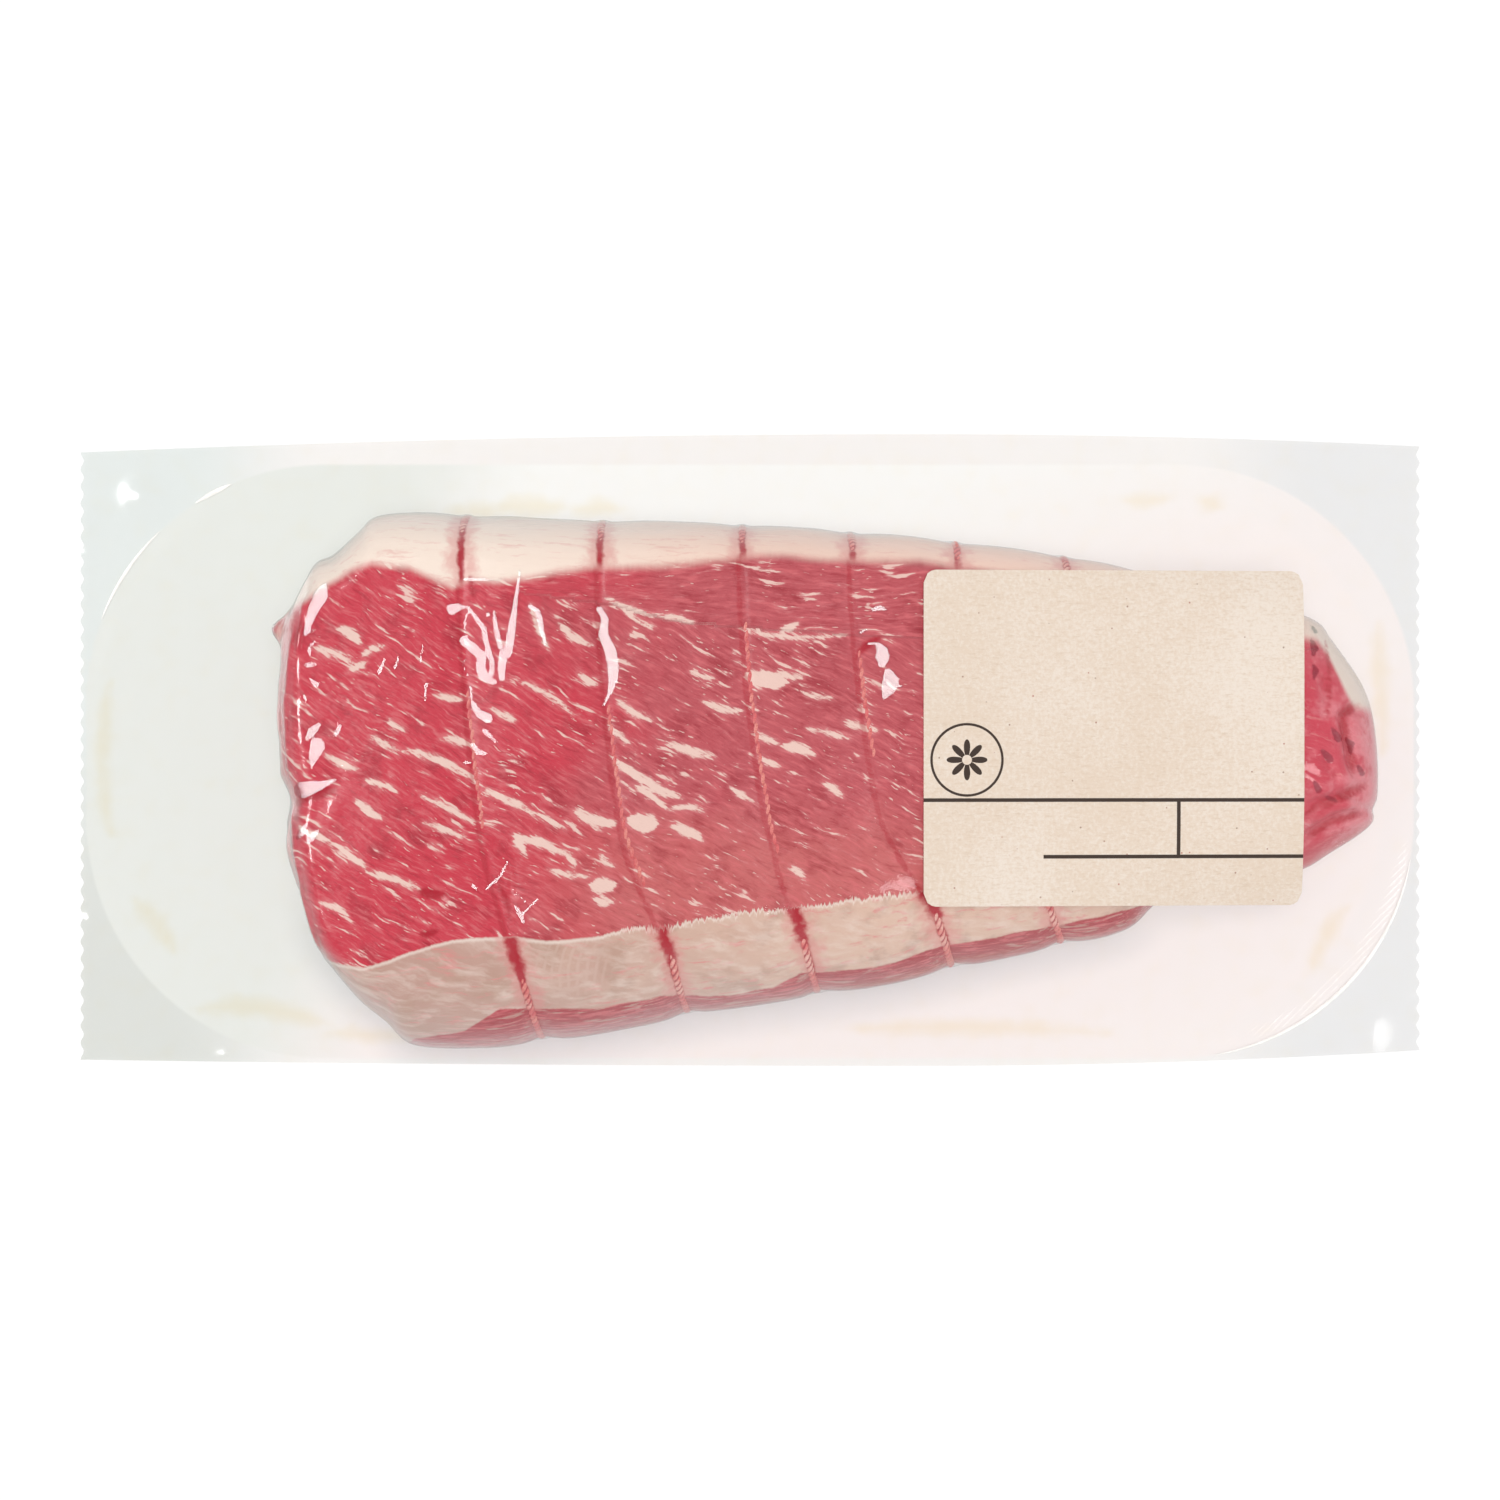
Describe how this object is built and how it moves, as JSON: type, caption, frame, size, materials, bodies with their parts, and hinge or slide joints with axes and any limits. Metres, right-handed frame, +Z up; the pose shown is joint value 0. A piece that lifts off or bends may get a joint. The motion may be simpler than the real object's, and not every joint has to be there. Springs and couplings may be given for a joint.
{
  "type": "raw cross rib roast in a vacuum pack",
  "caption": "Raw boneless beef roast, tied with twine and sealed in a flat clear vacuum pack with pinked ends and a blank paper label.",
  "frame": {"origin": "centre of the pack's footprint on the surface that it lies on", "axes": "+X along the pack towards the thin, labelled end of the roast, +Z up out of the cut face, +Y towards the pack's upper long edge as the picture shows it"},
  "size_m": [0.352, 0.166, 0.0632],
  "materials": {
    "beef": "wet raw beef under tight clear film, glossy",
    "clear_film": "clear glossy film",
    "twine": "cotton twine, stained by meat juice",
    "label_paper": "matt speckled kraft paper"
  },
  "bodies": {
    "root": {"sealed_pack": "beef", "label": "label_paper"}
  },
  "joints": []
}
